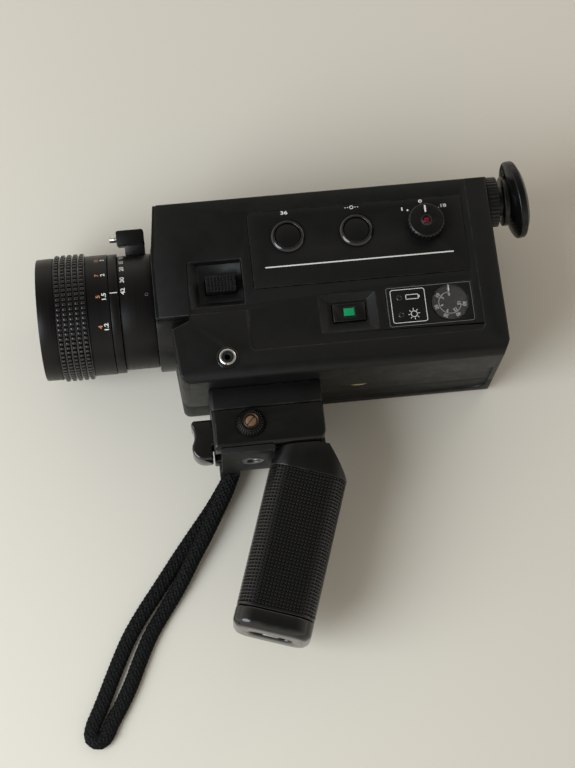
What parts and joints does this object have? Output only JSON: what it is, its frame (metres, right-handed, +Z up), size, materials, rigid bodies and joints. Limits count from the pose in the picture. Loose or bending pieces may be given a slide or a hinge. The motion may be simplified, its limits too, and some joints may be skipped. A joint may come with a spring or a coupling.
{
  "type": "movie camera",
  "caption": "Compact film movie camera with a zoom lens, control panel, eyecup, film door, folding pistol grip, trigger and a braided wrist strap, lying on its side.",
  "frame": {"origin": "on the right side of the casing, which rests on the table, in line with the lens axis and 40 mm behind the front of the lens collar", "axes": "+X from the lens to the rear, +Y the camera's own up, away from the grip, +Z up from the table, out of the left side with the controls"},
  "size_m": [0.2399, 0.2576, 0.0684],
  "materials": {
    "casing": "fine grained black paint over moulded plastic",
    "casing_smooth": "satin black plastic",
    "panel": "satin black anodised sheet",
    "lens_black": "semi-gloss black anodised",
    "lens_rubber": "ribbed rubber",
    "silver": "satin silver",
    "steel": "machined steel",
    "brass": "worn brass",
    "optics": "coated optical glass",
    "clear": "clear plastic window",
    "green_window": "green translucent plastic",
    "red_lamp": "red translucent plastic",
    "dial_card": "printed black card",
    "inner_black": "matte black inner plastic",
    "nylon": "white gear nylon",
    "board": "circuit board laminate",
    "eye_rubber": "smooth moulded rubber",
    "grip_rubber": "beaded moulded rubber",
    "strap": "braided cord"
  },
  "bodies": {
    "camera_body": {"left_shell": "casing", "right_shell": "casing", "front_plate": "casing", "lens_barrel": "lens_black", "index_ring": "lens_black", "iris": "steel", "rear_element": "optics", "control_plate": "panel", "button_bezels": "casing_smooth", "rocker_pin": "steel", "indicator_plate": "panel", "counter_window": "clear", "remote_jack": "silver", "circuit_board": "board", "film_chamber": "inner_black", "film_gate": "steel", "drive_motor": "steel", "drive_plate": "steel", "finder_tube": "inner_black", "finder_prism": "optics", "door_hinge_pin": "steel", "handle_upper": "casing", "handle_lower": "casing", "base_plate": "casing_smooth", "tripod_bush": "steel", "grip_hinge_pin": "steel", "wrist_strap": "strap"},
    "focus_group": {"focus_ring": "lens_black", "front_element": "optics"},
    "zoom_control": {"zoom_ring": "lens_black", "zoom_lever": "lens_black"},
    "zoom_cell": {"zoom_group": "optics"},
    "macro_lock": {"macro_pin": "silver"},
    "slow_motion_key": {"slow_motion_button": "casing_smooth"},
    "backlight_key": {"backlight_button": "casing_smooth"},
    "run_selector": {"run_dial": "casing_smooth", "run_lamp": "red_lamp"},
    "zoom_key": {"zoom_rocker": "inner_black"},
    "battery_check_key": {"battery_check_button": "casing_smooth", "battery_check_window": "green_window"},
    "film_counter": {"counter_disc": "dial_card"},
    "eyepiece": {"dioptre_ring": "casing_smooth", "eyepiece_lens": "optics", "eyecup": "eye_rubber"},
    "door": {"film_door": "casing", "door_window": "clear"},
    "latch": {"door_latch": "casing_smooth"},
    "shutter_wheel": {"shutter": "inner_black"},
    "rotor": {"motor_rotor": "steel"},
    "idler": {"idler_gear": "nylon"},
    "spindle": {"take_up_spindle": "nylon"},
    "claw": {"film_claw": "steel"},
    "trigger_key": {"trigger": "casing_smooth"},
    "trigger_lock": {"trigger_lock_dial": "casing_smooth", "trigger_lock_screw": "brass"},
    "grip": {"grip_core": "casing_smooth", "grip_sleeve": "grip_rubber", "battery_contacts": "steel"},
    "battery_cap": {"base_cap": "casing_smooth"},
    "cap_turn": {"cap_key": "steel"}
  },
  "joints": [
    {"name": "focus_turn", "type": "hinge", "parent": "camera_body", "child": "focus_group", "pos_m": [-0.06, 0, 0.0312], "axis": [1, 0, 0], "range_deg": [-60, 150]},
    {"name": "zoom_turn", "type": "hinge", "parent": "camera_body", "child": "zoom_control", "pos_m": [-0.048, 0, 0.0312], "axis": [1, 0, 0], "range_deg": [-35, 60]},
    {"name": "zoom_glide", "type": "slide", "parent": "camera_body", "child": "zoom_cell", "axis": [1, 0, 0], "range_m": [-0.0106, 0.0062]},
    {"name": "macro_press", "type": "slide", "parent": "zoom_control", "child": "macro_lock", "axis": [1, 0, 0], "range_m": [0, 0.002], "stiffness_N_per_m": 200, "springref_m": -0.002},
    {"name": "slow_motion_press", "type": "slide", "parent": "camera_body", "child": "slow_motion_key", "axis": [0, 0, -1], "range_m": [0, 0.0015], "stiffness_N_per_m": 300, "springref_m": -0.002},
    {"name": "backlight_press", "type": "slide", "parent": "camera_body", "child": "backlight_key", "axis": [0, 0, -1], "range_m": [0, 0.0015], "stiffness_N_per_m": 300, "springref_m": -0.002},
    {"name": "run_dial_turn", "type": "hinge", "parent": "camera_body", "child": "run_selector", "pos_m": [0.0923, 0.0202, 0.0624], "axis": [0, 0, 1], "range_deg": [-45, 45]},
    {"name": "zoom_rocker_tilt", "type": "hinge", "parent": "camera_body", "child": "zoom_key", "pos_m": [-0.008, -0.0003, 0.055], "axis": [0, 1, 0], "range_deg": [-6, 6], "stiffness_Nm_per_rad": 0.02},
    {"name": "battery_check_press", "type": "slide", "parent": "camera_body", "child": "battery_check_key", "axis": [0, 0, -1], "range_m": [0, 0.0012], "stiffness_N_per_m": 300, "springref_m": -0.002},
    {"name": "counter_turn", "type": "hinge", "parent": "camera_body", "child": "film_counter", "pos_m": [0.0989, -0.0201, 0.06], "axis": [0, 0, 1], "range_deg": [0, 300]},
    {"name": "dioptre_turn", "type": "hinge", "parent": "camera_body", "child": "eyepiece", "pos_m": [0.128, 0.0339, 0.049], "axis": [1, 0, 0], "range_deg": [-60, 60]},
    {"name": "film_door_swing", "type": "hinge", "parent": "camera_body", "child": "door", "pos_m": [0.1175, 0, 0.0025], "axis": [0, -1, 0], "range_deg": [0, 90]},
    {"name": "door_latch_slide", "type": "slide", "parent": "door", "child": "latch", "axis": [1, 0, 0], "range_m": [0, 0.003]},
    {"name": "shutter_turn", "type": "hinge", "parent": "camera_body", "child": "shutter_wheel", "pos_m": [0.007, -0.018, 0.037], "axis": [1, 0, 0], "continuous": true},
    {"name": "rotor_turn", "type": "hinge", "parent": "camera_body", "child": "rotor", "pos_m": [0.007, -0.03057, 0.0469], "axis": [1, 0, 0], "continuous": true},
    {"name": "idler_turn", "type": "hinge", "parent": "camera_body", "child": "idler", "pos_m": [0.06727, -0.02037, 0.045], "axis": [0, 0, 1], "continuous": true},
    {"name": "spindle_turn", "type": "hinge", "parent": "camera_body", "child": "spindle", "pos_m": [0.05795, 0, 0.04], "axis": [0, 0, 1], "continuous": true},
    {"name": "claw_stroke", "type": "slide", "parent": "camera_body", "child": "claw", "axis": [0, 1, 0], "range_m": [-0.0021, 0.0021]},
    {"name": "trigger_pull", "type": "slide", "parent": "camera_body", "child": "trigger_key", "axis": [1, 0, 0], "range_m": [0, 0.0035], "stiffness_N_per_m": 250, "springref_m": -0.002},
    {"name": "trigger_lock_turn", "type": "hinge", "parent": "camera_body", "child": "trigger_lock", "pos_m": [-0.0002, -0.0661, 0.049], "axis": [0, 0, 1], "range_deg": [0, 90]},
    {"name": "grip_fold", "type": "hinge", "parent": "camera_body", "child": "grip", "pos_m": [0.0293, -0.0719, 0.0312], "axis": [0, 0, 1], "range_deg": [0, 105]},
    {"name": "battery_cap_pull", "type": "slide", "parent": "grip", "child": "battery_cap", "axis": [-0.3272, -0.9449, 0], "range_m": [0, 0.02]},
    {"name": "cap_key_turn", "type": "hinge", "parent": "battery_cap", "child": "cap_turn", "pos_m": [-0.00089, -0.16442, 0.0312], "axis": [-0.3272, -0.9449, 0], "range_deg": [0, 90]}
  ],
  "couplings": [
    {"joint": "zoom_glide", "follows": "zoom_turn", "m_per_rad": -0.01},
    {"joint": "rotor_turn", "follows": "shutter_turn", "ratio": -2.3333},
    {"joint": "idler_turn", "follows": "shutter_turn", "ratio": 0.12963},
    {"joint": "spindle_turn", "follows": "shutter_turn", "ratio": -0.04321}
  ]
}
